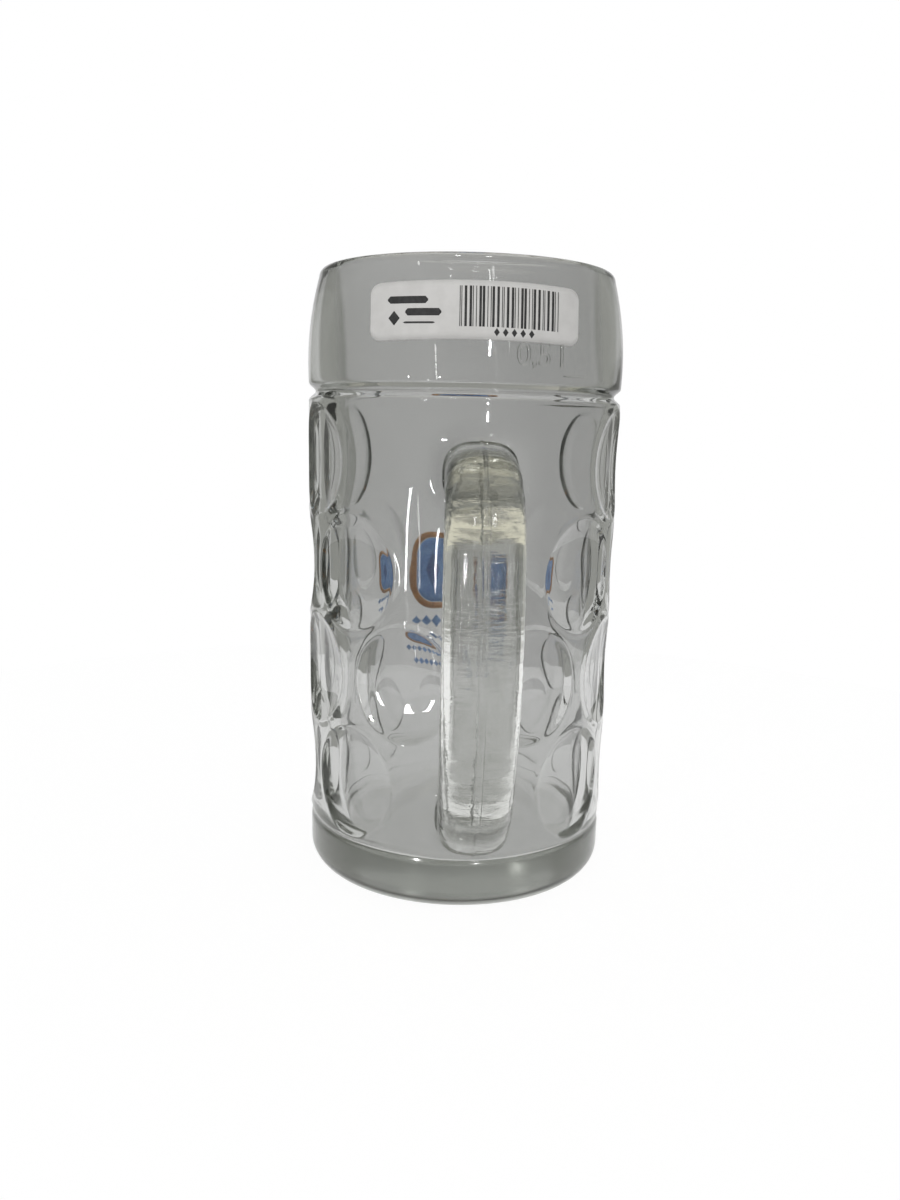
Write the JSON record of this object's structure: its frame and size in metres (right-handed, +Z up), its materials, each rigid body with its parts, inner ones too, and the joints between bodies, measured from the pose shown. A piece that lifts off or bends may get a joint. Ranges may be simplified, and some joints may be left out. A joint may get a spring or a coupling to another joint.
{
  "type": "glass beer mug",
  "caption": "Tall glass beer mug with a dimpled wall, a swelling rim band over a groove, a solid glass handle, a paper label and a small fired print",
  "frame": {"origin": "centre of the flat underside, on the standing plane and on the mug's axis", "axes": "+Z up along the mug's axis; the handle points along -Y and the front print faces +Y"},
  "size_m": [0.0852, 0.1317, 0.164],
  "materials": {
    "body_glass": "clear pressed soda-lime glass, faintly grey-green, fire-polished",
    "handle_glass": "clear solid glass with a light moulded roughness",
    "label_paper": "white coated paper sticker, matt",
    "blue_print": "fired blue enamel print, satin",
    "gold_print": "fired gold-brown enamel print, satin"
  },
  "bodies": {
    "root": {"mug_body": "body_glass", "handle": "handle_glass", "price_label": "label_paper", "print_field": "blue_print", "print_border": "gold_print", "print_bar_upper": "blue_print", "print_bar_lower": "blue_print"}
  },
  "joints": []
}
